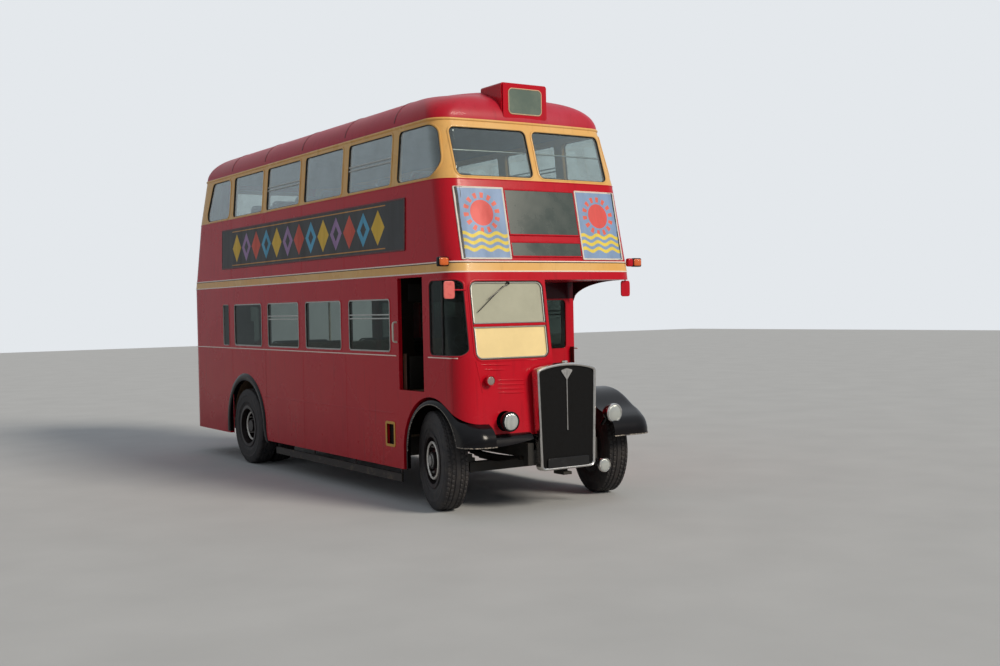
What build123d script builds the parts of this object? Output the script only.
from build123d import *
import math
import os

# A half-cab double decker bus with an open rear platform: panels, chassis pieces and moving bodies.
# Millimetres. +X is the nearside, the bus's own left. +Y runs to the rear and +Z up.
# The origin is on the ground, under the middle of the whole vehicle.

# Overall sizes
body_width = 2286.0
wheelbase = 4978.0
front_overhang = 800.0
rear_overhang = 2147.0
side_reach = 1300.0

# The stack of heights: each is how far it stands above the one before
skirt_height = 372.0
waist_rise = 1182.0
band_rise = 841.0
upper_waist_rise = 926.0
roof_line_rise = 624.0
roof_rise = 395.0
box_rise = 411.0

# Heights of floors
floor_height = 720.0
cab_floor_height = 1195.0
upper_floor_rise = 150.0
canopy_drop = 85.0

# Walls, plates and gaps
wall = 50.0
floor_plate = 30.0
upper_floor_plate = 50.0
bulkhead_thickness = 40.0
platform_height = 440.0
platform_plate = 40.0
platform_riser = 25.0
cab_wall = 30.0
glass_depth = 10.0
glass_thickness = 6.0
moving_gap = 5.0
seat_gap = 0.3
reach_past = 50.0

# Body plan
front_corner_radius = 220.0
front_bow = 50.0
rear_bow = 30.0
front_split = 990.0
rear_split = 760.0
platform_side = 90.0

# Distances behind the front axle
bulkhead_aft = 610.0
first_window_aft = 790.0
platform_overlap = 582.0

# Side windows, with sills and heads above or below the panels' edges
bays = 4
last_pillar = 42.0
lower_pillar = 197.0
lower_sill_rise = 36.0
lower_head_drop = 242.0
upper_pillar = 152.0
upper_sill_rise = 30.0
upper_head_drop = 57.0
window_corner = 45.0
corner_share = 0.45
last_window_gap = 5.0
stair_window_ahead = 40.0
stair_window_length = 235.0
quarter_setback = 105.0
quarter_pillar = 145.0
quarter_front_corner = 150.0
quarter_back_corner = 60.0
rear_quarter_foot_ahead = 704.5
rear_quarter_top_ahead = 934.5
rear_quarter_corner = 100.0
rear_window_left = -620.0
rear_window_right = -60.0
rear_head_drop = 265.0
rear_window_corner = 60.0
stair_window_corner = 25.0
bulkhead_sill_rise = 6.0
bulkhead_head_drop = 285.0
cab_inner_window_front = 400.0
cab_inner_window_back = 430.0
cab_inner_sill_rise = 66.0
cab_inner_head_drop = 245.0

# Front windows
front_window_reach = 935.0
front_pillar = 80.0
front_window_lift = 5.0
front_window_drop = 30.0
front_window_corner = 60.0
windscreen_left = -962.0
windscreen_right = -116.0
windscreen_sill_drop = 24.0
windscreen_head_drop = 95.0
windscreen_corner = 75.0
cab_window_setback = 55.0
cab_window_back = 50.0
cab_sill_rise = 21.0
cab_head_drop = 80.0
cab_window_corner = 60.0

# Emergency door
door_half = 620.0
rear_door_sill_rise = 24.0
rear_door_head_drop = 70.0
rear_door_corner = 90.0
rear_door_bar = 44.0
rear_door_frame = 52.0

# Cab
cab_inner_wall = -80.0
canopy_plate = 20.0
engine_side = -372.0
bonnet_height = 1448.0
cab_foot_height = 775.0
door_start_aft = 90.0
door_sill_rise = 5.0
door_head_drop = 33.0
door_length = 520.0
door_overlap = 30.0
door_thickness = 20.0
door_pocket_skin = 20.0
door_stile = 70.0
door_window_drop = 35.0
door_window_corner = 50.0

# Radiator
radiator_depth = 98.0
radiator_top_width = 736.0
radiator_foot_width = 672.0
radiator_foot = 410.0
radiator_shoulder = 1418.0
radiator_apex = 1474.0
radiator_corner = 60.0
radiator_rim = 30.0
core_set_back = 22.0

# Bonnet
bonnet_thickness = 12.0
bonnet_side_x = 380.0
bonnet_skirt = 960.0
bonnet_crown_x = 160.0
bonnet_crown_drop = 8.0
bonnet_shoulder_x = 340.0
bonnet_shoulder_drop = 62.0
bonnet_corner_drop = 130.0
bonnet_cut_inset = 60.0
bonnet_cut_drop = 90.0

# Wheels and tyres
tyre_radius = 505.0
tyre_width = 250.0
rim_radius = 254.0
rim_width = 220.0
front_wheel_reach = 975.0
kingpin_reach = 800.0
rest_steer = -13.0
rear_inner_wheel = 720.0
rear_outer_wheel = 1000.0
stub_radius = 30.0
rear_stub_radius = 45.0
running_gap = 0.4
tread_shoulder = 20.0
bead_inset = 2.0
bead_height = 30.0
bulge_start = 105.0
bulge_end = 75.0
tread_drop = 30.0
tread_inset = 6.0
rim_plate = 16.0
rim_flange = 8.0
rim_lip = 22.0
rim_step = 20.0
rim_step_depth = 26.0
disc_thickness = 12.0
disc_edge = 10.0
disc_sink = 5.0
stud_circle = 165.0
stud_count = 10
nut_length = 62.0
nut_radius = 15.0
guard_radius = 188.0
guard_start = 48.0
guard_end = 60.0
guard_gap = 8.0

# Hubs and brake drums, with places from the tyre's middle
hub_radius = 85.0
drum_inner = 192.0
drum_outer = 208.0
front_disc = 45.0
front_drum_back = 95.0
drum_plate = 14.0
drum_plate_sink = 2.0
drum_plate_inner = 10.0
front_hub_back = 60.0
front_hub_front = 120.0
front_cap_start = 84.0
front_cap_end = 138.0
front_cap_radius = 62.0
rear_drum_back = 70.0
rear_hub_front = 60.0
rear_cap_end = 78.0
rear_cap_inset = 8.0

# Front axle, knuckles and track rod
boss_radius = 38.0
boss_half = 75.0
boss_clearance = 70.0
neck_length = 100.0
neck_half = 30.0
neck_depth = 30.0
neck_rise = 40.0
neck_foot_inner = 170.0
neck_foot_outer = 60.0
knuckle_slot_inner = 46.0
knuckle_slot_outer = 200.0
knuckle_slot_half = 100.0
kingpin_radius = 20.0
lug = 54.0
knuckle_reach = 92.0
knuckle_clearance = 8.0
stub_root = 80.0
stub_past_wheel = 80.0
arm_length = 180.0
arm_plate = 30.0
steering_arm_half = 20.0
track_pin_radius = 10.0
track_pin_length = 34.0
track_pin_sink = 5.0
track_rod_radius = 14.0
track_end_half = 16.0
track_end_radius = 26.0

# Rear axle
rear_stub_past_wheel = 40.0
axle_tube_radius = 75.0
axle_tube_end = 600.0
casing_half = 140.0
spring_pad_half = 35.0

# Chassis
frame_reach = 395.0
frame_flange = 70.0
frame_depth = 220.0
axle_beam_top = 460.0
axle_beam_depth = 100.0
axle_beam_width = 90.0
front_arch_reach = 620.0
front_arch_depth = 130.0
rear_arch_reach = 780.0
rear_arch_depth = 90.0
member_length = 90.0
member_depth = 100.0
second_member = 720.0
third_member = 1560.0
fourth_member = 2700.0
fifth_member_ahead = 1078.0
engine_half = 300.0
engine_ahead = 560.0
engine_top = 1290.0
engine_gap = 45.0
gearbox_half = 190.0
gearbox_length = 575.0
shaft_rise = 40.0
shaft_radius = 45.0
casing_radius = 168.0
leaf_shortening = 0.8
leaf_camber = 30.0
leaf_thickness = 12.0
leaf_count = 5
front_spring_length = 1150.0
rear_spring_length = 1100.0
rear_spring_reach = 500.0
rear_spring_base = 360.0
spring_width = 80.0
eye_half = 30.0
eye_sink = 5.0

# Staircase
stair_left = -180.0
stair_width = 560.0
stair_steps = 9
stair_tread = 28.0
STRAIGHT_STEPS = 3
TURN_STEPS = 3

# Rear wheel arches and the boxes over them
rear_arch_radius = 600.0
rear_arch_height = 530.0
rear_arch_ahead = 20.0
rear_arch_slope = 260.0
wheel_box_reach = 560.0
wheel_box_plate = 20.0

# Wings
wing_reach = 1143.0
wing_thickness = 12.0
wing_radius = 575.0
wing_centre_height = 578.0
wing_back = 546.0
wing_slope = 27.0
wing_nose = 785.0
wing_nose_radius = 170.0
wing_plan_radius = 200.0
wing_lip_height = 690.0
offside_wing_inner = 850.0
wing_strip = 83.0
wing_strip_top = 950.0
nearside_wing_inner = 600.0
wing_edge = 45.0
wing_cheek = 560.0
wing_valance = 300.0
wing_strip_start = 250.0

# Roof
roof_wall = 40.0
shoulder_radius = 300.0
shoulder_turn = 76.0
shoulder_steps = 4
crown_steps = 3
crown_flat = 0.25
front_dome = 330.0
rear_dome = 250.0
corner_growth = 1.1
corner_limit = 0.8

# Route number box on the roof
box_half = 285.0
box_ahead = 125.0
box_length = 385.0
box_corner = 25.0
box_sink = 10.0

# Headlamps and fog lamp, with places ahead of the front axle
headlamp_radius = 100.0
headlamp_height = 925.0
offside_lamp_x = -665.0
nearside_lamp_x = 640.0
lamp_front = 770.0
lamp_back = 560.0
nearside_lamp_set_back = 25.0
nearside_lamp_smaller = 5.0
fog_x = 500.0
fog_height = 400.0
fog_radius = 75.0
fog_front = 745.0
fog_back = 660.0
fog_bracket = 25.0

# Indicators and mirrors, with places ahead of the front axle
offside_indicator_reach = 1245.0
indicator_ahead = 400.0
indicator_rise = 100.0
indicator_width = 120.0
indicator_depth = 80.0
indicator_tall = 95.0
indicator_corner = 15.0
arm_half = 12.0
mirror_ahead = 600.0
mirror_drop = 95.0
mirror_width = 120.0
mirror_tall = 170.0
mirror_thickness = 22.0
mirror_corner = 20.0
mirror_arm_radius = 8.0
mirror_arm_run = 90.0
nearside_mirror_x = 1085.0

# Cab step in the offside panel
step_aft = 735.0
step_length = 185.0
step_bottom = 600.0
step_top = 840.0
step_depth = 40.0

# Display boards
board = 8.0
side_board_rise = 256.0
side_board_drop = 138.0
side_board_start = 440.0
side_board_past = 180.0
poster_inner = 450.0
poster_outer = 1000.0
poster_rise = 125.0
poster_drop = 81.0
blind_half = 433.0
blind_rise = 370.0
blind_drop = 96.0
final_blind_rise = 150.0
final_blind_tall = 145.0

# Seats, with places behind the front axle
seat_half_gangway = 205.0
seat_wall_gap = 30.0
seat_rows_short = 380.0
cushion_depth = 430.0
cushion_top = 450.0
cushion_thickness = 110.0
back_thickness = 70.0
back_top_thickness = 50.0
back_height = 940.0
back_rake = 60.0
seat_leg = 30.0
seat_leg_inset = 50.0
lower_rows = 5
nearside_rows = 8
offside_rows = 7
first_lower_back = 1330.0
first_upper_back = 560.0
upper_lean = 20.0
bench_inner = 640.0
bench_back = 430.0
driver_x = -655.0
driver_seat_half = 210.0
driver_seat_front = 90.0
driver_seat_back = 480.0
driver_cushion_height = 250.0
driver_cushion = 90.0
driver_back = 510.0
driver_back_inset = 10.0
pedestal_half = 60.0
steering_ahead = 130.0
steering_rise = 480.0
steering_radius = 235.0
steering_rim_radius = 13.0
steering_tilt = 28.0
column_ahead = 385.0
column_radius = 22.0

# Rails, poles, tank, pipe and tow jaw
rail_start = 720.0
rail_inset = 35.0
rail_thickness = 22.0
rail_bottom = 215.0
rail_top = 300.0
rail_posts = 4
pole_radius = 16.0
pole_inset = 135.0
pole_ahead = 270.0
pole_gangway = 830.0
pole_behind = 60.0
tank_reach = 1000.0
tank_start = 1320.0
tank_length = 1160.0
tank_depth = 290.0
tank_corner = 60.0
exhaust_x = 600.0
exhaust_z = 500.0
exhaust_start = 800.0
pipe_radius = 32.0
silencer_start = 1900.0
silencer_length = 800.0
silencer_radius = 105.0
hanger_plate = 20.0
tow_half = 50.0
tow_reach = 20.0
tow_radius = 16.0
tow_plate = 30.0
tow_back = 600.0

# Heights that follow from the sizes above
waist_height = skirt_height + waist_rise
band_height = waist_height + band_rise
upper_waist_height = band_height + upper_waist_rise
roof_line_height = upper_waist_height + roof_line_rise
upper_floor_height = band_height + upper_floor_rise
canopy_height = band_height - canopy_drop
lower_window_sill = waist_height + lower_sill_rise
lower_window_head = band_height - lower_head_drop
upper_window_sill = upper_waist_height + upper_sill_rise
upper_window_head = roof_line_height - upper_head_drop
rear_window_head = band_height - rear_head_drop
bulkhead_window_sill = waist_height + bulkhead_sill_rise
bulkhead_window_head = band_height - bulkhead_head_drop
cab_inner_window_sill = waist_height + cab_inner_sill_rise
cab_inner_window_head = band_height - cab_inner_head_drop
windscreen_sill = waist_height - windscreen_sill_drop
windscreen_head = band_height - windscreen_head_drop
cab_window_sill = waist_height + cab_sill_rise
cab_window_head = band_height - cab_head_drop
rear_door_sill = upper_waist_height + rear_door_sill_rise
rear_door_head = roof_line_height - rear_door_head_drop
door_sill = cab_floor_height + door_sill_rise
door_head = band_height - door_head_drop
side_board_bottom = band_height + side_board_rise
side_board_top = upper_waist_height - side_board_drop
poster_bottom = band_height + poster_rise
poster_top = upper_waist_height - poster_drop
blind_bottom = band_height + blind_rise
blind_top = upper_waist_height - blind_drop
final_blind_bottom = band_height + final_blind_rise
final_blind_top = final_blind_bottom + final_blind_tall
indicator_height = band_height + indicator_rise
mirror_height = canopy_height - mirror_drop
hub_height = tyre_radius

# Lengths and places that follow from the sizes above
overall_length = front_overhang + wheelbase + rear_overhang
platform_aft = wheelbase + platform_overlap
bay = (platform_aft - first_window_aft - last_pillar) / bays
lower_window_length = bay - lower_pillar
upper_window_length = bay - upper_pillar
stair_window_start = platform_aft - stair_window_ahead
side_board_end = platform_aft + side_board_past
fifth_member = wheelbase - fifth_member_ahead
seat_pitch = (platform_aft - seat_rows_short) / (nearside_rows - 1)
half_width = body_width / 2
window_reach = half_width + reach_past
front_y = -overall_length / 2
rear_y = overall_length / 2
front_axle_y = front_y + front_overhang
rear_axle_y = front_axle_y + wheelbase
bulkhead_y = front_axle_y + bulkhead_aft
saloon_y = bulkhead_y + bulkhead_thickness
platform_y = front_axle_y + platform_aft
radiator_back_y = front_y + radiator_depth
frame_top = floor_height - floor_plate
frame_bottom = frame_top - frame_depth
frame_side = frame_reach + frame_flange / 2
inner_half = half_width - wall
middle_y = front_axle_y + wheelbase / 2
nearside_mirror_y = front_axle_y - indicator_ahead
upper_floor_underside = upper_floor_height - upper_floor_plate
crown_height = roof_line_height + roof_rise
roof_height = roof_line_height + box_rise


def block(x0, x1, y0, y1, z0, z1):
    """A box from its lowest to its highest corner."""
    return Pos((x0 + x1) / 2, (y0 + y1) / 2, (z0 + z1) / 2) * Box(x1 - x0, y1 - y0, z1 - z0)


def rod(start, end, radius):
    """A round bar between two points."""
    a, b = Vector(*start), Vector(*end)
    return Solid.make_cylinder(radius, (b - a).length, Plane(origin=a, z_dir=b - a))


def side_prism(face, x0, x1):
    """A face drawn with Y across and Z up, carried from x0 to x1."""
    return extrude(Plane.YZ.offset(x0) * face, amount=x1 - x0)


def end_prism(face, y0, y1):
    """A face drawn with X across and Z up, carried from y0 to y1."""
    plane = Plane(origin=(0, y0, 0), x_dir=(1, 0, 0), z_dir=(0, -1, 0))
    return extrude(plane * face, amount=-(y1 - y0))


def panel(a0, a1, z0, z1, radius):
    """A rounded rectangle between two places and two heights."""
    corner = min(radius, corner_share * (a1 - a0), corner_share * (z1 - z0))
    return Pos((a0 + a1) / 2, (z0 + z1) / 2) * RectangleRounded(a1 - a0, z1 - z0, corner)


def rounded(points, radius):
    """A closed outline through the points, with every corner rounded."""
    outline = make_face(Polyline(*points, close=True))
    return fillet(outline.vertices(), radius)


def both_sides(shape):
    """The shape and its mirror image on the other side of the bus."""
    return [shape, mirror(shape, about=Plane.YZ)]


def save(name, *shapes):
    """Writes one sub-part, whose solids don't touch."""
    solids = [solid for shape in shapes for solid in shape.solids()]
    whole = solids[0] if len(solids) == 1 else Compound(children=solids)
    whole.label = name
    export_step(whole, f"parts/{name}.step")


# Body sections: height, front reach ahead of the axle, half width, rear inset, rear corner radius
SECTIONS = [
    (skirt_height, 700.0, half_width, 0.0, 330.0),
    (waist_height, 655.0, half_width, 0.0, 330.0),
    (band_height, 535.0, half_width, 0.0, 330.0),
    (upper_waist_height, 345.0, half_width - 25.0, 190.0, 350.0),
    (roof_line_height, 150.0, half_width - 78.0, 340.0, 370.0),
]


def plan(section, inset):
    """The body's outline at one height: bowed ends, straight sides and rounded corners."""
    height, reach, half, rear_inset, rear_radius = section
    half -= inset
    nose = front_axle_y - reach + inset
    tail = rear_y - rear_inset - inset
    front = ThreePointArc((-half, nose + front_bow), (0, nose), (half, nose + front_bow))
    rear = ThreePointArc((half, tail - rear_bow), (0, tail), (-half, tail - rear_bow))
    nearside = Line(front @ 1, rear @ 0)
    offside = Line(rear @ 1, front @ 0)
    outline = make_face(front + nearside + rear + offside)
    outline = fillet(outline.vertices().sort_by(Axis.Y)[:2], front_corner_radius - inset)
    outline = fillet(outline.vertices().sort_by(Axis.Y)[-2:], rear_radius - inset)
    return Pos(0, 0, height) * outline


def hull(inset):
    """The whole body below the roof, taken in from the outside by the inset."""
    return loft([plan(section, inset) for section in SECTIONS], ruled=True)


outer_hull = hull(0.0)
inner_hull = hull(wall)
shell = outer_hull - inner_hull
glass_shell = hull(glass_depth) - hull(glass_depth + glass_thickness)


def front_profile(height):
    """How far the front's middle stands ahead of the front axle at a height."""
    for low, high in zip(SECTIONS, SECTIONS[1:]):
        if height <= high[0]:
            share = (height - low[0]) / (high[0] - low[0])
            return low[1] + share * (high[1] - low[1])
    return SECTIONS[-1][1]


# Wings: the band over each front wheel, which sweeps forward to a lip ahead of the tyre
def wing_outline(inset, foot):
    """The wing's side view: up behind the wheel, over it, and down a slope to a round nose."""
    radius = wing_radius - inset
    centre_y = front_axle_y + wing_back - wing_radius
    back_y = centre_y + radius
    turn = math.radians(90 + wing_slope)
    turn_y = centre_y + radius * math.cos(turn)
    turn_z = wing_centre_height + radius * math.sin(turn)
    nose_y = front_axle_y - wing_nose + inset
    nose_z = turn_z - (turn_y - nose_y) * math.tan(math.radians(wing_slope))
    edges = [
        Line((back_y, foot), (back_y, wing_centre_height)),
        CenterArc((centre_y, wing_centre_height), radius, 0, 90 + wing_slope),
        Line((turn_y, turn_z), (nose_y, nose_z)),
        Line((nose_y, nose_z), (nose_y, foot)),
        Line((nose_y, foot), (back_y, foot)),
    ]
    outline = make_face(edges)
    nose = outline.vertices().sort_by_distance((nose_y, nose_z, 0))[0]
    return fillet(nose, wing_nose_radius - inset)


def wing_solid(inset, inner_x):
    """The filled wing from its outer side to inner_x, with a rounded outer edge."""
    side = side_prism(wing_outline(inset, skirt_height - 2 * reach_past), inner_x, wing_reach - inset)
    front_edge = front_axle_y - wing_nose + inset
    back_edge = front_axle_y + wing_back + reach_past
    plan_shape = Pos((inner_x + wing_reach - inset) / 2, (front_edge + back_edge) / 2) * Rectangle(
        wing_reach - inset - inner_x, back_edge - front_edge
    )
    corner = plan_shape.vertices().sort_by(Axis.X)[-2:].sort_by(Axis.Y)[:1]
    plan_shape = fillet(corner, wing_plan_radius - inset)
    return side & extrude(plan_shape, amount=canopy_height)


def wing(inner_x):
    """One nearside wing: a thin shell, open below and inside, with the wheel's opening in its side."""
    shape = wing_solid(0.0, inner_x) - wing_solid(wing_thickness, inner_x - reach_past)
    low_outline = wing_outline(wing_edge, skirt_height - 4 * reach_past)
    opening = side_prism(low_outline, wing_reach - 2 * wing_thickness, wing_reach + reach_past)
    opening -= block(0, window_reach, front_y - reach_past, front_axle_y - wing_cheek, 0, roof_height)
    shape -= opening
    valance_y = front_axle_y - wing_valance
    shape -= block(0, window_reach, front_y - reach_past, valance_y, 0, wing_lip_height)
    shape -= block(0, window_reach, valance_y, rear_axle_y, 0, skirt_height)
    strip_x = wing_reach - wing_strip
    shape -= block(0, strip_x, front_axle_y + wing_strip_start, bulkhead_y, 0, wing_strip_top)
    return shape


# Windows
def bay_window(k, start, length, sill, head):
    """The cutter of one side window, through both sides of the body."""
    y0 = front_axle_y + start + k * bay
    return side_prism(panel(y0, y0 + length, sill, head, window_corner), -window_reach, window_reach)


lower_windows = [
    bay_window(k, first_window_aft, lower_window_length, lower_window_sill, lower_window_head)
    for k in range(bays)
]
upper_start = first_window_aft - (upper_window_length - lower_window_length) / 2
upper_windows = [
    bay_window(k, upper_start, upper_window_length, upper_window_sill, upper_window_head)
    for k in range(bays)
]
stair_y = front_axle_y + stair_window_start
stair_panel = panel(
    stair_y, stair_y + stair_window_length, lower_window_sill, lower_window_head, stair_window_corner
)
stair_window = side_prism(stair_panel, -window_reach, 0.0)


def leaning_window(setback, back_y, sill, head, front_corner, back_corner):
    """A side window whose front edge leans back with the front of the body."""
    outline = make_face(
        Polyline(
            (front_axle_y - front_profile(sill) + setback, sill),
            (back_y, sill),
            (back_y, head),
            (front_axle_y - front_profile(head) + setback, head),
            close=True,
        )
    )
    limit = corner_share * (head - sill)
    outline = fillet(outline.vertices().sort_by(Axis.X)[:2], min(front_corner, limit))
    return fillet(outline.vertices().sort_by(Axis.X)[-2:], min(back_corner, limit))


quarter_panel = leaning_window(
    quarter_setback,
    front_axle_y + upper_start - quarter_pillar,
    upper_window_sill,
    upper_window_head,
    quarter_front_corner,
    quarter_back_corner,
)
front_quarter_window = side_prism(quarter_panel, -window_reach, window_reach)
last_upper = front_axle_y + upper_start + bays * bay - last_window_gap
rear_quarter_window = side_prism(
    rounded(
        [
            (last_upper, upper_window_sill),
            (rear_y - rear_quarter_foot_ahead, upper_window_sill),
            (rear_y - rear_quarter_top_ahead, upper_window_head),
            (last_upper, upper_window_head),
        ],
        min(rear_quarter_corner, corner_share * (upper_window_head - upper_window_sill)),
    ),
    -window_reach,
    window_reach,
)
front_window_panel = panel(
    front_pillar / 2,
    front_window_reach,
    upper_window_sill + front_window_lift,
    upper_window_head - front_window_drop,
    front_window_corner,
)
front_windows = both_sides(end_prism(front_window_panel, front_y - reach_past, front_axle_y))
windscreen_panel = panel(
    windscreen_left, windscreen_right, windscreen_sill, windscreen_head, windscreen_corner
)
windscreen = end_prism(windscreen_panel, front_y - reach_past, front_axle_y)
cab_window_panel = leaning_window(
    cab_window_setback,
    front_axle_y - cab_window_back,
    cab_window_sill,
    cab_window_head,
    cab_window_corner,
    cab_window_corner,
)
cab_window = side_prism(cab_window_panel, -window_reach, -front_split)
rear_window_panel = panel(
    rear_window_left, rear_window_right, lower_window_sill, rear_window_head, rear_window_corner
)
rear_window = end_prism(rear_window_panel, middle_y, rear_y + reach_past)

# Emergency door in the rear of the upper deck
rear_door_hole = end_prism(
    panel(-door_half, door_half, rear_door_sill, rear_door_head, rear_door_corner),
    middle_y,
    rear_y + reach_past,
)
rear_door_blank = end_prism(
    panel(
        -door_half + moving_gap,
        door_half - moving_gap,
        rear_door_sill + seat_gap,
        rear_door_head - moving_gap,
        rear_door_corner - moving_gap,
    ),
    middle_y,
    rear_y + reach_past,
)
rear_pane = panel(
    rear_door_bar / 2,
    door_half - rear_door_frame,
    rear_door_sill + rear_door_frame,
    rear_door_head - rear_door_frame,
    rear_door_corner / 2,
)
rear_door_panes = both_sides(end_prism(rear_pane, middle_y, rear_y + reach_past))

# Shell regions
def zone(x0, x1, y0, y1, z0, z1):
    """The part of the shell inside a box."""
    return shell & block(x0, x1, y0, y1, z0, z1)


def cut(shape, cutters):
    """A shape less a list of cutters."""
    for cutter in cutters:
        shape = shape - cutter
    return shape


rear_arch_y = rear_axle_y - rear_arch_ahead
arch_back = rear_arch_y + rear_arch_radius
arch_front = rear_arch_y - rear_arch_radius
rear_arch = side_prism(
    make_face(
        [
            Line((arch_back, 0), (arch_back, rear_arch_height)),
            CenterArc((rear_arch_y, rear_arch_height), rear_arch_radius, 0, 180),
            Line((arch_front, rear_arch_height), (arch_front - rear_arch_slope, 0)),
            Line((arch_front - rear_arch_slope, 0), (arch_back, 0)),
        ]
    ),
    -window_reach,
    window_reach,
)
door_pocket_start = front_axle_y + door_start_aft
door_pocket_end = bulkhead_y + door_length + door_overlap + 2 * moving_gap
door_pocket = block(
    -half_width + door_pocket_skin,
    -inner_half + moving_gap,
    door_pocket_start - door_overlap,
    door_pocket_end,
    door_sill - seat_gap + moving_gap,
    door_head - moving_gap,
)

# Lower deck walls
step_recess = block(
    -window_reach,
    -half_width + step_depth,
    front_axle_y + step_aft,
    front_axle_y + step_aft + step_length,
    step_bottom,
    step_top,
)
lower_side_offside = cut(
    zone(-window_reach, -front_split, bulkhead_y, middle_y, skirt_height, band_height)
    + zone(-window_reach, -rear_split, middle_y, rear_y, skirt_height, band_height),
    lower_windows + [stair_window, rear_arch, door_pocket, step_recess],
)
lower_side_nearside = cut(
    zone(front_split, window_reach, saloon_y, platform_y, skirt_height, band_height),
    lower_windows + [rear_arch],
)

# Front bulkhead, with a window beside the bonnet and one behind the driver
bulkhead = block(-inner_half, half_width, bulkhead_y, saloon_y, floor_height, canopy_height)
bulkhead += inner_hull & block(
    -half_width, half_width, bulkhead_y, saloon_y, canopy_height, upper_floor_underside
)
BULKHEAD_PANES = [
    # left, right
    (290.0, 1030.0),
    (-960.0, -340.0),
]
bulkhead_panels = [
    panel(x0, x1, bulkhead_window_sill, bulkhead_window_head, window_corner) for x0, x1 in BULKHEAD_PANES
]
bulkhead = cut(bulkhead, [end_prism(pane, bulkhead_y, saloon_y) for pane in bulkhead_panels])

# Cab
nearside_wing = wing(nearside_wing_inner)
bulkhead_return = block(
    inner_half,
    half_width,
    front_axle_y + wing_back - reach_past,
    saloon_y,
    skirt_height,
    wing_strip_top - reach_past,
)
bulkhead += bulkhead_return - wing_solid(0.0, nearside_wing_inner)
offside_wing = wing(offside_wing_inner)
offside_wing -= block(0, wing_reach - wing_strip, front_axle_y - wing_valance, bulkhead_y, 0, roof_height)
offside_wing = mirror(offside_wing, about=Plane.YZ)
offside_wing_space = mirror(wing_solid(0.0, offside_wing_inner - seat_gap), about=Plane.YZ)
offside_lamp_hole = rod(
    (offside_lamp_x, front_y - reach_past, headlamp_height),
    (offside_lamp_x, front_axle_y - lamp_back + reach_past, headlamp_height),
    headlamp_radius,
)
cab_front = zone(-front_split, cab_inner_wall, front_y, front_axle_y, cab_foot_height, band_height)
cab_front = cut(cab_front, [windscreen, offside_lamp_hole, offside_wing_space])
cab_doorway = block(
    -window_reach, -front_split, front_axle_y + door_start_aft, bulkhead_y, door_sill, door_head
)
cab_side = zone(-window_reach, -front_split, front_y, bulkhead_y, skirt_height, band_height)
cab_side = cut(cab_side, [cab_window, cab_doorway, door_pocket, offside_wing_space])
cab_side = Part() + cab_side.solids().sort_by(SortBy.VOLUME)[-1]
cab_floor = inner_hull & block(
    -half_width,
    engine_side - cab_wall,
    front_y,
    bulkhead_y,
    cab_floor_height - floor_plate,
    cab_floor_height,
)
cover_top = bonnet_height - cab_wall
engine_cover = block(
    cab_inner_wall - cab_wall, cab_inner_wall, front_y, bulkhead_y, cover_top, upper_floor_underside
)
engine_cover += block(
    engine_side - cab_wall, cab_inner_wall, front_y, bulkhead_y, cover_top - cab_wall, cover_top
)
engine_cover += block(
    engine_side - cab_wall, engine_side, front_y, bulkhead_y, cab_foot_height, cover_top
)
engine_cover &= inner_hull
cab_inner_panel = panel(
    front_axle_y - cab_inner_window_front,
    front_axle_y + cab_inner_window_back,
    cab_inner_window_sill,
    cab_inner_window_head,
    cab_window_corner,
)
engine_cover -= side_prism(cab_inner_panel, cab_inner_wall - cab_wall, cab_inner_wall)

# Upper deck walls
def side_walls(side, z0, z1):
    """Both lengths of one side wall of the upper deck, between two heights."""
    front_x = sorted((side * front_split, side * window_reach))
    rear_x = sorted((side * rear_split, side * window_reach))
    front_length = zone(*front_x, front_y, middle_y, z0, z1)
    return front_length + zone(*rear_x, middle_y, rear_y, z0, z1)


upper_front = zone(-front_split, front_split, front_y, middle_y, band_height, upper_waist_height)
upper_front += zone(cab_inner_wall, front_split, front_y, middle_y, canopy_height, band_height)
upper_front += inner_hull & block(
    cab_inner_wall, half_width, front_y, bulkhead_y, canopy_height, canopy_height + canopy_plate
)
upper_side_panels = [side_walls(side, band_height, upper_waist_height) for side in (-1, 1)]
upper_side_panels[1] += zone(front_split, window_reach, front_y, saloon_y, canopy_height, band_height)
rear_panel = zone(-rear_split, rear_split, middle_y, rear_y, band_height, roof_line_height)
rear_panel += zone(-rear_split, platform_side, middle_y, rear_y, skirt_height, band_height)
rear_panel = cut(rear_panel, [rear_door_hole, rear_window])
upper_openings = upper_windows + [front_quarter_window, rear_quarter_window]
window_band = zone(-front_split, front_split, front_y, middle_y, upper_waist_height, roof_line_height)
for side in (-1, 1):
    window_band += side_walls(side, upper_waist_height, roof_line_height)
window_band = cut(window_band, front_windows + upper_openings)
emergency_door = cut(shell & rear_door_blank, rear_door_panes)

# Roof: plan sections up a round shoulder and then up a shallow crown
crown_start = SECTIONS[-1][2] - shoulder_radius * (1.0 - math.cos(math.radians(shoulder_turn)))


def roof_steps(inset):
    """Each section's height above the roof line and its inset at the sides, the front and the rear."""
    turn = math.radians(shoulder_turn)
    steps = []
    for k in range(shoulder_steps + 1):
        angle = turn * k / shoulder_steps
        side_in = shoulder_radius * (1.0 - math.cos(angle))
        steps.append((shoulder_radius * math.sin(angle), side_in, side_in, side_in))
    shoulder_rise, shoulder_in = steps[-1][0], steps[-1][1]
    for k in range(1, crown_steps + 1):
        share = (1.0 - crown_flat) * k / crown_steps
        rise = shoulder_rise + (roof_rise - shoulder_rise) * (1.0 - (1.0 - share) ** 2)
        insets = [shoulder_in + run * share for run in (crown_start, front_dome, rear_dome)]
        steps.append((rise, *insets))
    top = steps[-1][0]
    return [(rise * (1.0 - inset / top), *ins) for rise, *ins in steps]


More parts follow.
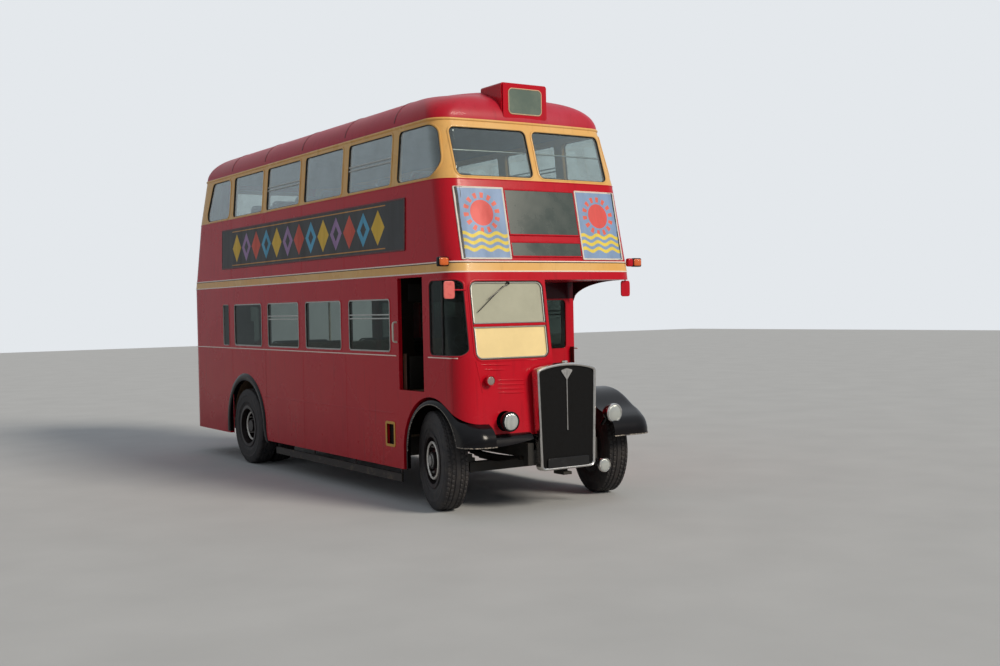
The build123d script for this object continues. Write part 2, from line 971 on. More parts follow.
def roof_plan(step, inset):
    """The roof's outline at one step, with corners that grow rounder towards the crown."""
    rise, side_in, front_in, rear_in = step
    half = SECTIONS[-1][2] - side_in
    nose = front_axle_y - SECTIONS[-1][1] + front_in + inset
    tail = rear_y - SECTIONS[-1][3] - rear_in - inset
    front_corner = min(front_corner_radius + corner_growth * side_in, half * corner_limit)
    rear_corner = min(SECTIONS[-1][4] + corner_growth * side_in, half * corner_limit)
    bow = front_bow * half / SECTIONS[-1][2]
    half -= inset
    front = ThreePointArc((-half, nose + bow), (0, nose), (half, nose + bow))
    rear = ThreePointArc((half, tail - rear_bow), (0, tail), (-half, tail - rear_bow))
    outline = make_face(front + Line(front @ 1, rear @ 0) + rear + Line(rear @ 1, front @ 0))
    outline = fillet(outline.vertices().sort_by(Axis.Y)[:2], front_corner - inset)
    outline = fillet(outline.vertices().sort_by(Axis.Y)[-2:], rear_corner - inset)
    return Pos(0, 0, roof_line_height + rise) * outline


def roof_solid(inset):
    """The filled roof, taken in by the inset."""
    return loft([roof_plan(step, inset) for step in roof_steps(inset)], ruled=True)


roof = roof_solid(0.0) - roof_solid(roof_wall)
box_front_y = front_axle_y - box_ahead
route_box = block(
    -box_half,
    box_half,
    box_front_y,
    box_front_y + box_length,
    roof_line_height + box_sink,
    roof_height,
)
route_box = fillet(route_box.edges().filter_by(Axis.Y).sort_by(Axis.Z)[-2:], box_corner)
route_box -= roof_solid(0.0)
route_box = Part() + route_box.solids().sort_by(SortBy.VOLUME)[-1]

# Floors
lower_floor = block(
    -inner_half, inner_half, saloon_y, platform_y, floor_height - floor_plate, floor_height
)
box_profile = Pos(rear_arch_y, rear_arch_height) * Circle(rear_arch_radius + wheel_box_plate)
void_profile = Pos(rear_arch_y, rear_arch_height) * Circle(rear_arch_radius)
wheel_box = side_prism(box_profile, wheel_box_reach, inner_half)
wheel_box &= block(wheel_box_reach, inner_half, middle_y, platform_y, floor_height, roof_height)
wheel_void = side_prism(void_profile, wheel_box_reach + wheel_box_plate, window_reach)
for housing, void in zip(both_sides(wheel_box), both_sides(wheel_void)):
    lower_floor = lower_floor + housing - void
platform_underside = platform_height - platform_plate
rear_platform = inner_hull & block(
    -rear_split, window_reach, platform_y, rear_y, platform_underside, platform_height
)
rear_platform += outer_hull & block(
    platform_side, window_reach, platform_y, rear_y, platform_underside, platform_height
)
rear_platform += block(
    -rear_split, inner_half, platform_y, platform_y + platform_riser, platform_height, floor_height
)

# Staircase: steps towards the offside, winders in the corner, then steps to the rear
stair_rise = (upper_floor_height - platform_height) / (stair_steps + 1)
stair_front = platform_y + platform_riser
stair_turn_y = stair_front + stair_width
stair_going = (inner_half - stair_width + stair_left) / STRAIGHT_STEPS


def stair_step(k):
    """The outline of one tread, with its height."""
    height = platform_height + (k + 1) * stair_rise
    if k < STRAIGHT_STEPS:
        x1 = stair_left - k * stair_going
        x0 = x1 - stair_going
        return height, [(x1, stair_front), (x1, stair_turn_y), (x0, stair_turn_y), (x0, stair_front)]
    pivot = (-inner_half + stair_width, stair_turn_y)
    if k < STRAIGHT_STEPS + TURN_STEPS:
        corner = (-inner_half, stair_front)
        share = stair_width * math.tan(math.radians(90 / TURN_STEPS))
        shapes = [
            [pivot, (pivot[0], stair_front), (pivot[0] - share, stair_front)],
            [pivot, (pivot[0] - share, stair_front), corner, (corner[0], pivot[1] - share)],
            [pivot, (corner[0], pivot[1] - share), (corner[0], pivot[1])],
        ]
        return height, shapes[k - STRAIGHT_STEPS]
    y0 = stair_turn_y + (k - STRAIGHT_STEPS - TURN_STEPS) * stair_going
    y1 = y0 + stair_going
    return height, [(-inner_half, y0), (pivot[0], y0), (pivot[0], y1), (-inner_half, y1)]


staircase = Part()
for k in range(stair_steps):
    step_height, step_points = stair_step(k)
    step_face = make_face(Polyline(*step_points, close=True))
    step_bottom_z = step_height - stair_rise - stair_tread
    staircase += extrude(Pos(0, 0, step_bottom_z) * step_face, amount=stair_rise + stair_tread)
staircase = staircase & inner_hull
staircase -= block(-inner_half, stair_left, platform_y, rear_y, 0.0, platform_height)
stairwell = block(
    -inner_half,
    stair_left - stair_going,
    stair_front,
    stair_turn_y + STRAIGHT_STEPS * stair_going,
    upper_floor_underside,
    upper_floor_height,
)
upper_floor = inner_hull & block(
    -half_width, half_width, front_y, rear_y, upper_floor_underside, upper_floor_height
)
upper_floor -= stairwell

# Chassis frame
frame_front = radiator_back_y - front_axle_y
FRAME_STEPS = [
    # start behind the axle, end, depth of the side member
    (frame_front, -front_arch_reach, frame_depth),
    (-front_arch_reach, front_arch_reach, front_arch_depth),
    (front_arch_reach, wheelbase - rear_arch_reach, frame_depth),
    (wheelbase - rear_arch_reach, platform_aft, rear_arch_depth),
]
chassis_frame = Part()
for start, end, depth in FRAME_STEPS:
    member = block(
        frame_reach - frame_flange / 2,
        frame_side,
        front_axle_y + start,
        front_axle_y + end,
        frame_top - depth,
        frame_top,
    )
    for half_frame in both_sides(member):
        chassis_frame += half_frame
CROSS_MEMBERS = [
    # place behind the axle, top below the frame's top, depth
    (frame_front + member_length / 2, frame_flange, frame_depth - frame_flange),
    (second_member, frame_depth - frame_flange, frame_flange),
    (third_member, 0.0, member_depth),
    (fourth_member, 0.0, member_depth),
    (fifth_member, 0.0, member_depth),
    (platform_aft - member_length, 0.0, rear_arch_depth),
]
for place, drop, depth in CROSS_MEMBERS:
    centre = front_axle_y + place
    top = frame_top - drop
    member_y = (centre - member_length / 2, centre + member_length / 2)
    chassis_frame += block(-frame_reach, frame_reach, *member_y, top - depth, top)

# Engine, gearbox and shaft
engine_bottom = frame_bottom + frame_flange
engine_y = (front_axle_y - engine_ahead, bulkhead_y - engine_gap)
engine_block = block(-engine_half, engine_half, *engine_y, engine_bottom, engine_top)
bearer_half = frame_reach - frame_flange / 2
bearer_y = (front_axle_y - frame_flange, front_axle_y + frame_flange)
engine_block += block(-bearer_half, bearer_half, *bearer_y, frame_top - frame_flange, frame_top)
gearbox_y = front_axle_y + second_member + member_length / 2
driveline_y = (bulkhead_y + engine_gap, gearbox_y + gearbox_length)
driveline = block(-gearbox_half, gearbox_half, *driveline_y, engine_bottom, frame_top - hanger_plate)
shaft_start = (0, gearbox_y + gearbox_length - frame_flange, tyre_radius + shaft_rise)
shaft_end = (0, rear_axle_y - casing_radius - seat_gap, tyre_radius)
driveline += rod(shaft_start, shaft_end, shaft_radius)

# Springs
def leaf_spring(centre_y, base, length):
    """A pack of leaves, each shorter than the last, bowed so that the ends stand higher."""
    pack = Part()
    for k in range(leaf_count):
        share = 1.0 - leaf_shortening * k / leaf_count
        half = length / 2 * share
        low = base + (leaf_count - 1 - k) * leaf_thickness
        end = low + leaf_camber * share**2
        outer = ThreePointArc((centre_y - half, end), (centre_y, low), (centre_y + half, end))
        upper = ThreePointArc(
            (centre_y + half, end + leaf_thickness),
            (centre_y, low + leaf_thickness),
            (centre_y - half, end + leaf_thickness),
        )
        edges = [outer, Line(outer @ 1, upper @ 0), upper, Line(upper @ 1, outer @ 0)]
        pack += side_prism(make_face(edges), -spring_width / 2, spring_width / 2)
    return pack


def hung_spring(centre_y, base, length, inner_x, outer_x, hanger_top):
    """A spring with the hangers that carry its two ends, drawn about the spring's own middle."""
    spring = leaf_spring(centre_y, base, length)
    eye = base + leaf_count * leaf_thickness - eye_sink
    for end in (-1, 1):
        eye_y = centre_y + end * (length / 2 - eye_half)
        spring += block(inner_x, outer_x, eye_y - eye_half, eye_y + eye_half, eye, hanger_top)
    return spring


front_spring = hung_spring(
    front_axle_y,
    axle_beam_top,
    front_spring_length,
    -frame_flange / 2,
    frame_flange / 2,
    frame_top - front_arch_depth,
)
rear_spring = hung_spring(
    rear_axle_y,
    rear_spring_base,
    rear_spring_length,
    frame_side - rear_spring_reach,
    spring_width / 2,
    frame_top - hanger_plate,
)
rear_spring_top = rear_spring_base + leaf_count * leaf_thickness
leaf_springs = both_sides(Pos(frame_reach, 0, 0) * front_spring)
leaf_springs += both_sides(Pos(rear_spring_reach, 0, 0) * rear_spring)

# Axles
def outward(side, inner, outer):
    """Two places on one side of the bus, the lower X first."""
    return sorted((side * inner, side * outer))


beam_y = (front_axle_y - axle_beam_width / 2, front_axle_y + axle_beam_width / 2)
beam_bottom = axle_beam_top - axle_beam_depth
neck_y = (front_axle_y - neck_half, front_axle_y + neck_half)
slot_y = (front_axle_y - knuckle_slot_half, front_axle_y + knuckle_slot_half)
front_axle_beam = block(-kingpin_reach, kingpin_reach, *beam_y, beam_bottom, axle_beam_top)
for side in (-1, 1):
    pin_foot = (side * kingpin_reach, front_axle_y, 0)
    pin_head = (side * kingpin_reach, front_axle_y, floor_height)
    boss_foot = (side * kingpin_reach, front_axle_y, hub_height - boss_half)
    boss_head = (side * kingpin_reach, front_axle_y, hub_height + boss_half)
    neck_x = outward(side, kingpin_reach - boss_radius - neck_length, kingpin_reach)
    foot_x = outward(side, kingpin_reach - neck_foot_inner, kingpin_reach - neck_foot_outer)
    slot_x = outward(side, kingpin_reach - knuckle_slot_inner, kingpin_reach + knuckle_slot_outer)
    front_axle_beam -= rod(pin_foot, pin_head, boss_radius + boss_clearance)
    front_axle_beam += block(*neck_x, *neck_y, axle_beam_top - neck_depth, hub_height + neck_rise)
    front_axle_beam += block(*foot_x, *neck_y, beam_bottom, hub_height)
    front_axle_beam += rod(boss_foot, boss_head, boss_radius)
    front_axle_beam -= rod(pin_foot, pin_head, kingpin_radius + running_gap)
    front_axle_beam -= block(*slot_x, *slot_y, 0, hub_height - boss_half)

stub_end = rear_outer_wheel + rear_stub_past_wheel
axle_profile = Polyline(
    (-stub_end, 0),
    (-stub_end, rear_stub_radius),
    (-axle_tube_end, rear_stub_radius),
    (-axle_tube_end, axle_tube_radius),
    (-casing_half, axle_tube_radius),
)
axle_profile += ThreePointArc(
    (-casing_half, axle_tube_radius), (0, casing_radius), (casing_half, axle_tube_radius)
)
axle_profile += Polyline(
    (casing_half, axle_tube_radius),
    (axle_tube_end, axle_tube_radius),
    (axle_tube_end, rear_stub_radius),
    (stub_end, rear_stub_radius),
    (stub_end, 0),
    (-stub_end, 0),
)
rear_axle = Pos(0, rear_axle_y, hub_height) * revolve(make_face(axle_profile), Axis.X)
pad_y = (rear_axle_y - spring_pad_half, rear_axle_y + spring_pad_half)
for side in (-1, 1):
    pad_x = outward(side, rear_spring_reach - spring_width / 2, rear_spring_reach + spring_width / 2)
    rear_axle += block(*pad_x, *pad_y, rear_spring_top + seat_gap, hub_height)

# Knuckles and track rod, drawn with the wheels straight and then turned
def knuckle(side):
    """A steering knuckle on its kingpin: two lugs, a back plate, the stub axle and the steering arm."""
    bottom = hub_height - boss_half - lug
    top = hub_height + boss_half + lug
    shape = Solid.make_cylinder(kingpin_radius, top - bottom, Plane(origin=(0, 0, bottom)))
    plate_y = (-boss_radius, boss_radius)
    for z0 in (bottom, hub_height + boss_half + seat_gap):
        shape += block(-boss_radius, knuckle_reach, *plate_y, z0, z0 + lug - seat_gap)
    shape += block(boss_radius + knuckle_clearance, knuckle_reach, *plate_y, bottom, top)
    stub_tip = front_wheel_reach - kingpin_reach + stub_past_wheel
    shape += rod((stub_root, 0, hub_height), (stub_tip, 0, hub_height), stub_radius)
    arm_end = arm_length + steering_arm_half
    shape += block(-steering_arm_half, steering_arm_half, 0.0, arm_end, bottom, bottom + arm_plate)
    pin_plane = Plane(origin=(0, arm_length, bottom - track_pin_length))
    shape += Solid.make_cylinder(track_pin_radius, track_pin_length + track_pin_sink, pin_plane)
    shape = Part() + shape
    if side < 0:
        shape = mirror(shape, about=Plane.YZ)
    return shape


def steered(shape, side):
    """A shape drawn about the kingpin, turned to the rest angle and put in its place."""
    return Pos(side * kingpin_reach, front_axle_y, 0) * (Rot(0, 0, rest_steer) * shape)


track_rod_height = hub_height - boss_half - lug - track_pin_length / 2
pin_offset = Vector(0, arm_length, 0).rotate(Axis.Z, rest_steer)
track_y = front_axle_y + pin_offset.Y
track_ends = [side * kingpin_reach + pin_offset.X for side in (-1, 1)]
track_rod = rod(
    (track_ends[0], track_y, track_rod_height),
    (track_ends[1], track_y, track_rod_height),
    track_rod_radius,
)
for x in track_ends:
    track_rod += rod(
        (x, track_y, track_rod_height - track_end_half),
        (x, track_y, track_rod_height + track_end_half),
        track_end_radius,
    )
for x in track_ends:
    track_rod -= rod((x, track_y, 0), (x, track_y, hub_height), track_pin_radius + running_gap)

# Wheels, drawn about the X axis with the outer face towards +X
def turned(points):
    """A ring turned about the X axis from an outline of (place along the axle, radius) points."""
    return revolve(make_face(Polyline(*[(x, r, 0) for x, r in points], close=True)), Axis.X)


def ring(x0, x1, r0, r1):
    """A plain ring about the X axis."""
    return turned([(x0, r0), (x1, r0), (x1, r1), (x0, r1)])


def tyre():
    """One tyre: bead, bulged side wall, shoulder and flat tread."""
    half = tyre_width / 2
    bead_half = rim_width / 2 - bead_inset
    tread_half = half - tread_shoulder
    return turned(
        [
            (-bead_half, rim_radius),
            (bead_half, rim_radius),
            (bead_half, rim_radius + bead_height),
            (half, rim_radius + bulge_start),
            (half, tyre_radius - bulge_end),
            (half - tread_inset, tyre_radius - tread_drop),
            (tread_half, tyre_radius),
            (-tread_half, tyre_radius),
            (-half + tread_inset, tyre_radius - tread_drop),
            (-half, tyre_radius - bulge_end),
            (-half, rim_radius + bulge_start),
            (-bead_half, rim_radius + bead_height),
        ]
    )


def rim(disc_x):
    """A rim barrel with its flanges and a disc at disc_x from the tyre's middle."""
    half = rim_width / 2
    step_radii = (rim_radius - rim_step_depth, rim_radius - disc_edge)
    shape = ring(-half, half, rim_radius - rim_plate, rim_radius)
    for x0 in (-half - rim_flange, half):
        shape += ring(x0, x0 + rim_flange, rim_radius - rim_plate, rim_radius + rim_lip)
    shape += ring(disc_x, disc_x + disc_thickness, hub_radius - disc_sink, rim_radius - disc_edge)
    if disc_x > half:
        shape += ring(half - rim_step, disc_x + disc_thickness, *step_radii)
    if disc_x < -half:
        shape += ring(disc_x, rim_step - half, *step_radii)
    return shape


def nut_ring(disc_x):
    """Wheel nuts on their circle, with the step ring carried on them."""
    shape = Part()
    for k in range(stud_count):
        angle = 2 * math.pi * k / stud_count
        y, z = stud_circle * math.cos(angle), stud_circle * math.sin(angle)
        shape += rod((disc_x, y, z), (disc_x + nut_length, y, z), nut_radius)
    shape += ring(disc_x + guard_start, disc_x + guard_end, stud_circle + guard_gap, guard_radius)
    return shape


def front_wheel():
    """A front wheel: rim, disc, brake drum, hub with its bore, and nuts."""
    shape = rim(front_disc) + nut_ring(front_disc)
    shape += ring(-front_drum_back, front_disc, drum_inner, drum_outer)
    plate_x = (front_disc - drum_plate, front_disc + drum_plate_sink)
    shape += ring(*plate_x, hub_radius - drum_plate_inner, drum_outer)
    shape += ring(-front_hub_back, front_hub_front, stub_radius + running_gap, hub_radius)
    shape += ring(front_cap_start, front_cap_end, 0.0, front_cap_radius)
    return shape


def rear_wheel():
    """A pair of twin rims back to back on one hub, from the inner tyre's middle."""
    spacing = rear_outer_wheel - rear_inner_wheel
    middle = spacing / 2
    cap_start = spacing + rear_stub_past_wheel + moving_gap
    shape = rim(middle - disc_thickness) + Pos(spacing, 0, 0) * rim(middle - spacing)
    shape += ring(-rear_drum_back, middle, drum_inner, drum_outer)
    shape += ring(-rear_drum_back, spacing + rear_hub_front, rear_stub_radius + running_gap, hub_radius)
    shape += ring(cap_start, spacing + rear_cap_end, 0.0, hub_radius - rear_cap_inset)
    shape += nut_ring(middle + disc_thickness)
    return shape


def rear_place(shape, side):
    """A nearside rear piece, put on its axle and mirrored for the offside."""
    placed = Pos(rear_inner_wheel, rear_axle_y, hub_height) * shape
    return placed if side > 0 else mirror(placed, about=Plane.YZ)


def front_place(shape, side):
    """A nearside front wheel piece, put on its knuckle."""
    placed = Pos(front_wheel_reach - kingpin_reach, 0, hub_height) * shape
    if side < 0:
        placed = mirror(placed, about=Plane.YZ)
    return steered(placed, side)


# Radiator: a tapered frame with a raised middle at the top
def radiator_outline(inset):
    """The radiator's front view."""
    foot = radiator_foot_width / 2 - inset
    top = radiator_top_width / 2 - inset
    low = radiator_foot + inset
    high = radiator_shoulder - inset
    edges = Polyline((-top, high), (-foot, low), (foot, low), (top, high))
    crest = ThreePointArc((top, high), (0, radiator_apex - inset), (-top, high))
    outline = make_face(edges + crest)
    return fillet(outline.vertices(), radiator_corner - inset)


radiator_hole = end_prism(
    radiator_outline(radiator_rim), front_y - reach_past, radiator_back_y + reach_past
)
radiator_shell = end_prism(radiator_outline(0.0), front_y, radiator_back_y) - radiator_hole
radiator_core = end_prism(radiator_outline(radiator_rim), front_y + core_set_back, radiator_back_y)

# Bonnet lid: top and nearside panel in one, hinged along the cab
bonnet_top_x = cab_inner_wall + seat_gap


def bonnet_outline(inset):
    """The bonnet's end view: a crowned top that turns down into the side."""
    crown = ThreePointArc(
        (bonnet_top_x, bonnet_height - inset),
        (bonnet_crown_x, bonnet_height - bonnet_crown_drop - inset),
        (bonnet_shoulder_x - inset, bonnet_height - bonnet_shoulder_drop - inset),
    )
    corner_end = (bonnet_side_x - inset, bonnet_height - bonnet_corner_drop)
    corner = TangentArc(crown @ 1, corner_end, tangent=crown % 1)
    down = Line(corner @ 1, (bonnet_side_x - inset, bonnet_skirt))
    close = Polyline(down @ 1, (bonnet_top_x, bonnet_skirt), crown @ 0)
    return make_face(crown + corner + down + close)


bonnet = end_prism(bonnet_outline(0.0), radiator_back_y + moving_gap, bulkhead_y - moving_gap)
bonnet -= end_prism(bonnet_outline(bonnet_thickness), radiator_back_y, bulkhead_y)
bonnet -= block(
    bonnet_top_x - reach_past,
    bonnet_side_x - bonnet_cut_inset,
    front_y,
    bulkhead_y,
    0,
    bonnet_height - bonnet_cut_drop,
)
bonnet = Part() + bonnet.solids().sort_by(SortBy.VOLUME)[-1]

# Cab door, slid back as it stands open
door_x = -half_width + door_pocket_skin + moving_gap
door_y = bulkhead_y + moving_gap
door_end_y = door_y + door_length + door_overlap - moving_gap
door_z = (door_sill + moving_gap, door_head - 2 * moving_gap)
door_window = panel(
    door_y + door_stile,
    door_end_y - door_stile,
    cab_window_sill,
    cab_window_head - door_window_drop,
    door_window_corner,
)
cab_door = block(door_x, door_x + door_thickness, door_y, door_end_y, *door_z)
cab_door -= side_prism(door_window, door_x - reach_past, door_x + door_thickness + reach_past)

# Headlamps and the fog lamp
def lamp(x, height, back_y, front_y0, radius):
    """A round lamp body that faces forwards."""
    return rod((x, back_y, height), (x, front_y0, height), radius)


headlamps = [
    lamp(
        offside_lamp_x,
        headlamp_height,
        front_axle_y - lamp_back,
        front_axle_y - lamp_front,
        headlamp_radius,
    ),
    lamp(
        nearside_lamp_x,
        headlamp_height,
        front_axle_y - lamp_back,
        front_axle_y - lamp_front + nearside_lamp_set_back,
        headlamp_radius - nearside_lamp_smaller,
    ),
]
nearside_wing -= headlamps[1]
fog_lamp = lamp(fog_x, fog_height, front_axle_y - fog_back, front_axle_y - fog_front, fog_radius)
fog_lamp += block(
    frame_reach + frame_flange / 2,
    fog_x,
    front_axle_y - fog_back - fog_bracket,
    front_axle_y - fog_back,
    fog_height - fog_bracket / 2,
    frame_bottom + frame_flange,
)
headlamps.append(fog_lamp)

# Direction indicators: a housing on a short arm at each front corner of the band
direction_indicators = []
for side, reach in ((-1, offside_indicator_reach), (1, side_reach)):
    indicator = block(
        reach - indicator_width,
        reach,
        front_axle_y - indicator_ahead - indicator_depth / 2,
        front_axle_y - indicator_ahead + indicator_depth / 2,
        indicator_height - indicator_tall / 2,
        indicator_height + indicator_tall / 2,
    )
    indicator = fillet(indicator.edges().filter_by(Axis.Y), indicator_corner)
    indicator += block(
        half_width - front_corner_radius,
        reach - indicator_width / 2,
        front_axle_y - indicator_ahead - arm_half,
        front_axle_y - indicator_ahead + arm_half,
        indicator_height - arm_half,
        indicator_height + arm_half,
    )
    indicator -= outer_hull
    direction_indicators.append(indicator if side > 0 else mirror(indicator, about=Plane.YZ))

# Driving mirrors: one on an arm from the cab corner, one hung below the canopy corner
mirror_y = front_axle_y - mirror_ahead
offside_mirror = block(
    -side_reach,
    -side_reach + mirror_width,
    mirror_y - mirror_thickness / 2,
    mirror_y + mirror_thickness / 2,
    mirror_height - mirror_tall / 2,
    mirror_height + mirror_tall / 2,
)
offside_mirror = fillet(offside_mirror.edges().filter_by(Axis.Y), mirror_corner)
offside_mirror += rod(
    (-side_reach + mirror_width / 2, mirror_y, mirror_height),
    (-front_split, mirror_y + mirror_arm_run, mirror_height),
    mirror_arm_radius,
)
offside_mirror -= outer_hull
nearside_mirror = rod(
    (nearside_mirror_x, nearside_mirror_y, mirror_height - mirror_tall / 2),
    (nearside_mirror_x, nearside_mirror_y, canopy_height),
    mirror_arm_radius,
)
nearside_mirror += block(
    nearside_mirror_x - mirror_width / 2,
    nearside_mirror_x + mirror_width / 2,
    nearside_mirror_y - mirror_thickness / 2,
    nearside_mirror_y + mirror_thickness / 2,
    mirror_height - mirror_tall,
    mirror_height,
)
driving_mirrors = [offside_mirror, nearside_mirror]

# Seats
def double_seat(back_y, base, outer):
    """A forward-facing double seat: cushion, raked back and legs."""
    front = back_y - cushion_depth - back_thickness
    cushion_foot = base + cushion_top - cushion_thickness
    shape = block(
        seat_half_gangway, outer, front, back_y - back_thickness, cushion_foot, base + cushion_top
    )
    back = make_face(
        Polyline(
            (back_y - back_thickness - back_rake, cushion_foot),
            (back_y - back_rake, cushion_foot),
            (back_y, base + back_height),
            (back_y - back_top_thickness, base + back_height),
            close=True,
        )
    )
    shape += side_prism(back, seat_half_gangway, outer)
    leg_y0, leg_y1 = front + seat_leg_inset, back_y - back_thickness - seat_leg_inset
    for leg_x in (seat_half_gangway + seat_leg_inset, outer - seat_leg_inset - seat_leg):
        shape += block(leg_x, leg_x + seat_leg, leg_y0, leg_y1, base, cushion_foot)
    return shape


seat_outer = inner_half - seat_wall_gap
bench_y0 = front_axle_y + first_lower_back + (lower_rows - 1) * seat_pitch + seat_leg_inset
bench_y1 = platform_y - seat_wall_gap
arch_top = rear_arch_height + rear_arch_radius + wheel_box_plate
bench_back_x = seat_outer - back_thickness
bench = block(bench_inner, bench_back_x, bench_y0, bench_y1, arch_top, arch_top + cushion_thickness)
bench += block(bench_back_x, seat_outer, bench_y0, bench_y1, arch_top, arch_top + bench_back)
passenger_seats = both_sides(bench)
for row in range(lower_rows):
    row_back = front_axle_y + first_lower_back + row * seat_pitch
    passenger_seats += both_sides(double_seat(row_back, floor_height, seat_outer))
upper_outer = SECTIONS[-2][2] - wall - seat_wall_gap - upper_lean
for row in range(nearside_rows):
    row_back = front_axle_y + first_upper_back + row * seat_pitch
    pair = both_sides(double_seat(row_back, upper_floor_height, upper_outer))
    passenger_seats += pair if row < offside_rows else pair[:1]

# Driver's seat and steering wheel
seat_foot = cab_floor_height + driver_cushion_height
driver_seat = block(
    driver_x - driver_seat_half,
    driver_x + driver_seat_half,
    front_axle_y + driver_seat_front,
    front_axle_y + driver_seat_back,
    seat_foot,
    seat_foot + driver_cushion,
)
driver_seat += block(
    driver_x - driver_seat_half + driver_back_inset,
    driver_x + driver_seat_half - driver_back_inset,
    front_axle_y + driver_seat_back - back_thickness,
    front_axle_y + driver_seat_back,
    seat_foot,
    seat_foot + driver_back,
)
pedestal_y = front_axle_y + (driver_seat_front + driver_seat_back) / 2
driver_seat += block(
    driver_x - pedestal_half,
    driver_x + pedestal_half,
    pedestal_y - pedestal_half,
    pedestal_y + pedestal_half,
    cab_floor_height,
    seat_foot,
)
wheel_centre = (driver_x, front_axle_y - steering_ahead, cab_floor_height + steering_rise)
column_foot = (driver_x, front_axle_y - column_ahead, cab_floor_height)
spoke = 2 * steering_radius - steering_rim_radius
steering_shape = Torus(steering_radius, steering_rim_radius)
steering_shape += Box(spoke, 2 * steering_rim_radius, steering_rim_radius)
steering_shape += Box(2 * steering_rim_radius, spoke, steering_rim_radius)
steering_wheel = Pos(*wheel_centre) * (Rot(steering_tilt, 0, 0) * steering_shape)
column = rod(column_foot, wheel_centre, column_radius)
steering_wheel += column - block(-half_width, 0, front_y, bulkhead_y, 0, cab_floor_height)

# Life guard rails
rail_y0 = front_axle_y + rail_start
rail_y1 = arch_front - rear_arch_slope
rail_x = inner_half - rail_inset
life_rail = block(rail_x, rail_x + rail_thickness, rail_y0, rail_y1, rail_bottom, rail_top)
post_pitch = (rail_y1 - rail_y0 - 2 * rail_inset) / (rail_posts - 1)
for k in range(rail_posts):
    post_y = rail_y0 + rail_inset + k * post_pitch
    life_rail += block(
        rail_x - rail_thickness / 2,
        rail_x,
        post_y - rail_thickness / 2,
        post_y + rail_thickness / 2,
        rail_bottom,
        frame_top,
    )

# Poles on the platform
POLES = [
    # side of the bus, place along it
    (half_width - pole_inset, rear_y - pole_ahead),
    (stair_left + pole_gangway, platform_y + pole_behind),
]
platform_poles = [
    rod((pole_x, pole_y, platform_height), (pole_x, pole_y, upper_floor_underside), pole_radius)
    for pole_x, pole_y in POLES
]

# Tank, pipe and tow jaw
tank_y = front_axle_y + tank_start
tank_z = (frame_top - tank_depth, frame_top - hanger_plate)
fuel_tank = block(-tank_reach, -frame_side, tank_y, tank_y + tank_length, *tank_z)
fuel_tank = fillet(fuel_tank.edges().filter_by(Axis.Y), tank_corner)


def pipe(start, end, radius):
    """A length of the exhaust, between two places behind the front axle."""
    y0, y1 = front_axle_y + start, front_axle_y + end
    return rod((exhaust_x, y0, exhaust_z), (exhaust_x, y1, exhaust_z), radius)


exhaust = pipe(exhaust_start, arch_front - front_axle_y - tank_corner, pipe_radius)
exhaust += pipe(silencer_start, silencer_start + silencer_length, silencer_radius)
for hanger in (exhaust_start + silencer_radius, silencer_start + silencer_length + silencer_radius):
    hanger_y = front_axle_y + hanger
    hanger_z = (exhaust_z - hanger_plate / 2, exhaust_z + hanger_plate / 2)
    exhaust += block(frame_side, exhaust_x, hanger_y, hanger_y + hanger_plate, *hanger_z)
tow_y = radiator_back_y - tow_reach
tow_bottom = radiator_foot - 2 * tow_plate
tow_jaw = block(-tow_half, tow_half, radiator_back_y, front_axle_y - tow_back, tow_bottom, frame_bottom)
tow_jaw += block(
    -tow_half, tow_half, tow_y - tow_half, radiator_back_y, tow_bottom, tow_bottom + tow_plate
)
tow_jaw -= rod((0, tow_y, 0), (0, tow_y, frame_top), tow_radius)

# Display boards: side adverts, front adverts and the two blinds
def side_board():
    """The nearside advertisement board, seated on the leaning side panel."""
    low = SECTIONS[2]
    high = SECTIONS[3]

    def reach(height):
        return low[2] + (height - low[0]) / (high[0] - low[0]) * (high[2] - low[2])

    face = make_face(
        Polyline(
            (reach(side_board_bottom), side_board_bottom),
            (reach(side_board_bottom) + board, side_board_bottom),
            (reach(side_board_top) + board, side_board_top),
            (reach(side_board_top), side_board_top),
            close=True,
        )
    )
    return end_prism(face, front_axle_y + side_board_start, front_axle_y + side_board_end)


FRONT_BOARDS = [
    # left, right, bottom, top
    (-poster_outer, -poster_inner, poster_bottom, poster_top),
    (poster_inner, poster_outer, poster_bottom, poster_top),
    (-blind_half, blind_half, blind_bottom, blind_top),
    (-blind_half, blind_half, final_blind_bottom, final_blind_top),
]
front_skin = hull(-board) - outer_hull
display_boards = both_sides(side_board())
for x0, x1, z0, z1 in FRONT_BOARDS:
    display_boards.append(front_skin & block(x0, x1, front_y - reach_past, front_axle_y, z0, z1))

# Glass, a thin sheet a little inside the outer face of each opening
below_band = block(-half_width, half_width, front_y, rear_y, 0, band_height)
rear_corner_part = block(-rear_split, platform_side, middle_y, rear_y, 0, band_height)
cab_front_part = block(-front_split, cab_inner_wall, front_y, front_axle_y, 0, band_height)
cab_side_part = block(-half_width, -front_split, front_y, front_axle_y, 0, band_height)
window_glass = [glass_shell & window & below_band for window in lower_windows]
window_glass += [glass_shell & stair_window, glass_shell & rear_window & rear_corner_part]
pane_y = bulkhead_y + glass_depth
window_glass += [end_prism(pane, pane_y, pane_y + glass_thickness) for pane in bulkhead_panels]
window_glass += [glass_shell & windscreen & cab_front_part, glass_shell & cab_window & cab_side_part]
pane_x = cab_inner_wall - glass_depth
window_glass += [side_prism(cab_inner_panel, pane_x - glass_thickness, pane_x)]
window_glass += [glass_shell & window for window in upper_openings + front_windows]
emergency_door_glass = [glass_shell & pane for pane in rear_door_panes]

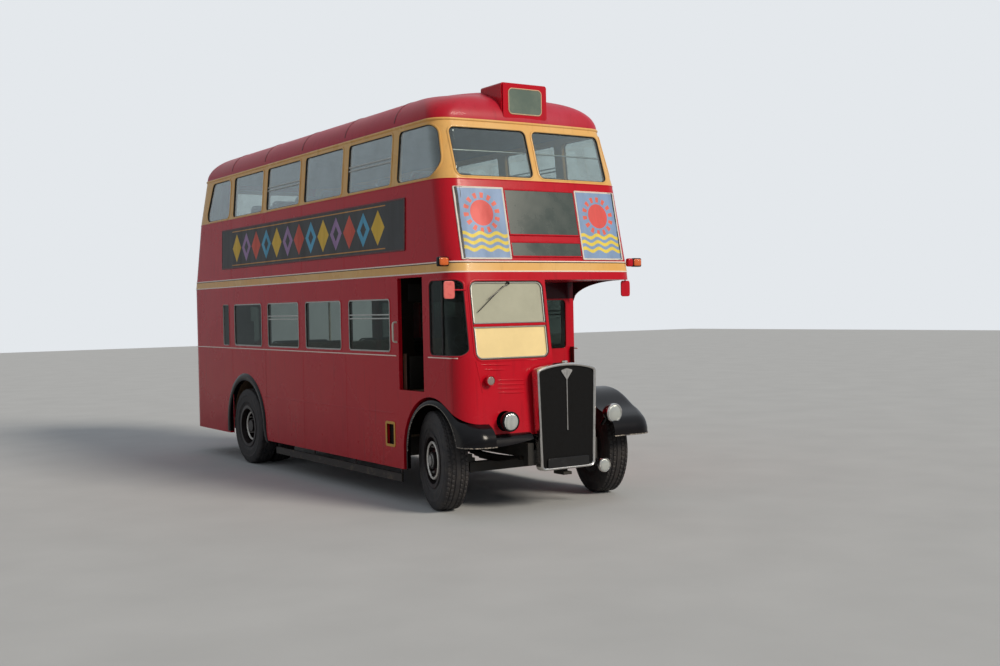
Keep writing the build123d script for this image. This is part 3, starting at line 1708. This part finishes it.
os.makedirs("parts", exist_ok=True)
PIECES = {
    "chassis_frame": [chassis_frame],
    "engine_block": [engine_block],
    "gearbox_and_shaft": [driveline],
    "leaf_springs": leaf_springs,
    "front_axle_beam": [front_axle_beam],
    "rear_axle_casing": [rear_axle],
    "fuel_tank": [fuel_tank],
    "exhaust": [exhaust],
    "tow_jaw": [tow_jaw],
    "life_guard_rails": both_sides(life_rail),
    "lower_floor": [lower_floor],
    "rear_platform": [rear_platform],
    "staircase": [staircase],
    "upper_floor": [upper_floor],
    "lower_side_panels": [lower_side_offside, lower_side_nearside],
    "front_bulkhead": [bulkhead],
    "cab_front": [cab_front],
    "cab_side": [cab_side],
    "cab_floor": [cab_floor],
    "engine_cover": [engine_cover],
    "upper_front_panel": [upper_front],
    "upper_side_panels": upper_side_panels,
    "rear_panel": [rear_panel],
    "upper_window_band": [window_band],
    "roof": [roof],
    "route_box": [route_box],
    "radiator_shell": [radiator_shell],
    "radiator_core": [radiator_core],
    "front_wings": [offside_wing, nearside_wing],
    "headlamps": headlamps,
    "direction_indicators": direction_indicators,
    "driving_mirrors": driving_mirrors,
    "display_boards": display_boards,
    "window_glass": window_glass,
    "passenger_seats": passenger_seats,
    "driver_seat": [driver_seat],
    "steering_wheel": [steering_wheel],
    "platform_poles": platform_poles,
    "bonnet": [bonnet],
    "cab_door": [cab_door],
    "emergency_door": [emergency_door],
    "emergency_door_glass": emergency_door_glass,
    "track_rod": [track_rod],
}
for side, side_name in ((-1, "offside"), (1, "nearside")):
    PIECES[f"knuckle_{side_name}"] = [steered(knuckle(side), side)]
    PIECES[f"front_wheel_{side_name}"] = [front_place(front_wheel(), side)]
    PIECES[f"front_tyre_{side_name}"] = [front_place(tyre(), side)]
    PIECES[f"rear_wheels_{side_name}"] = [rear_place(rear_wheel(), side)]
    twin = [tyre(), Pos(rear_outer_wheel - rear_inner_wheel, 0, 0) * tyre()]
    PIECES[f"rear_tyres_{side_name}"] = [rear_place(one, side) for one in twin]
for node, shapes in PIECES.items():
    save(node, *shapes)
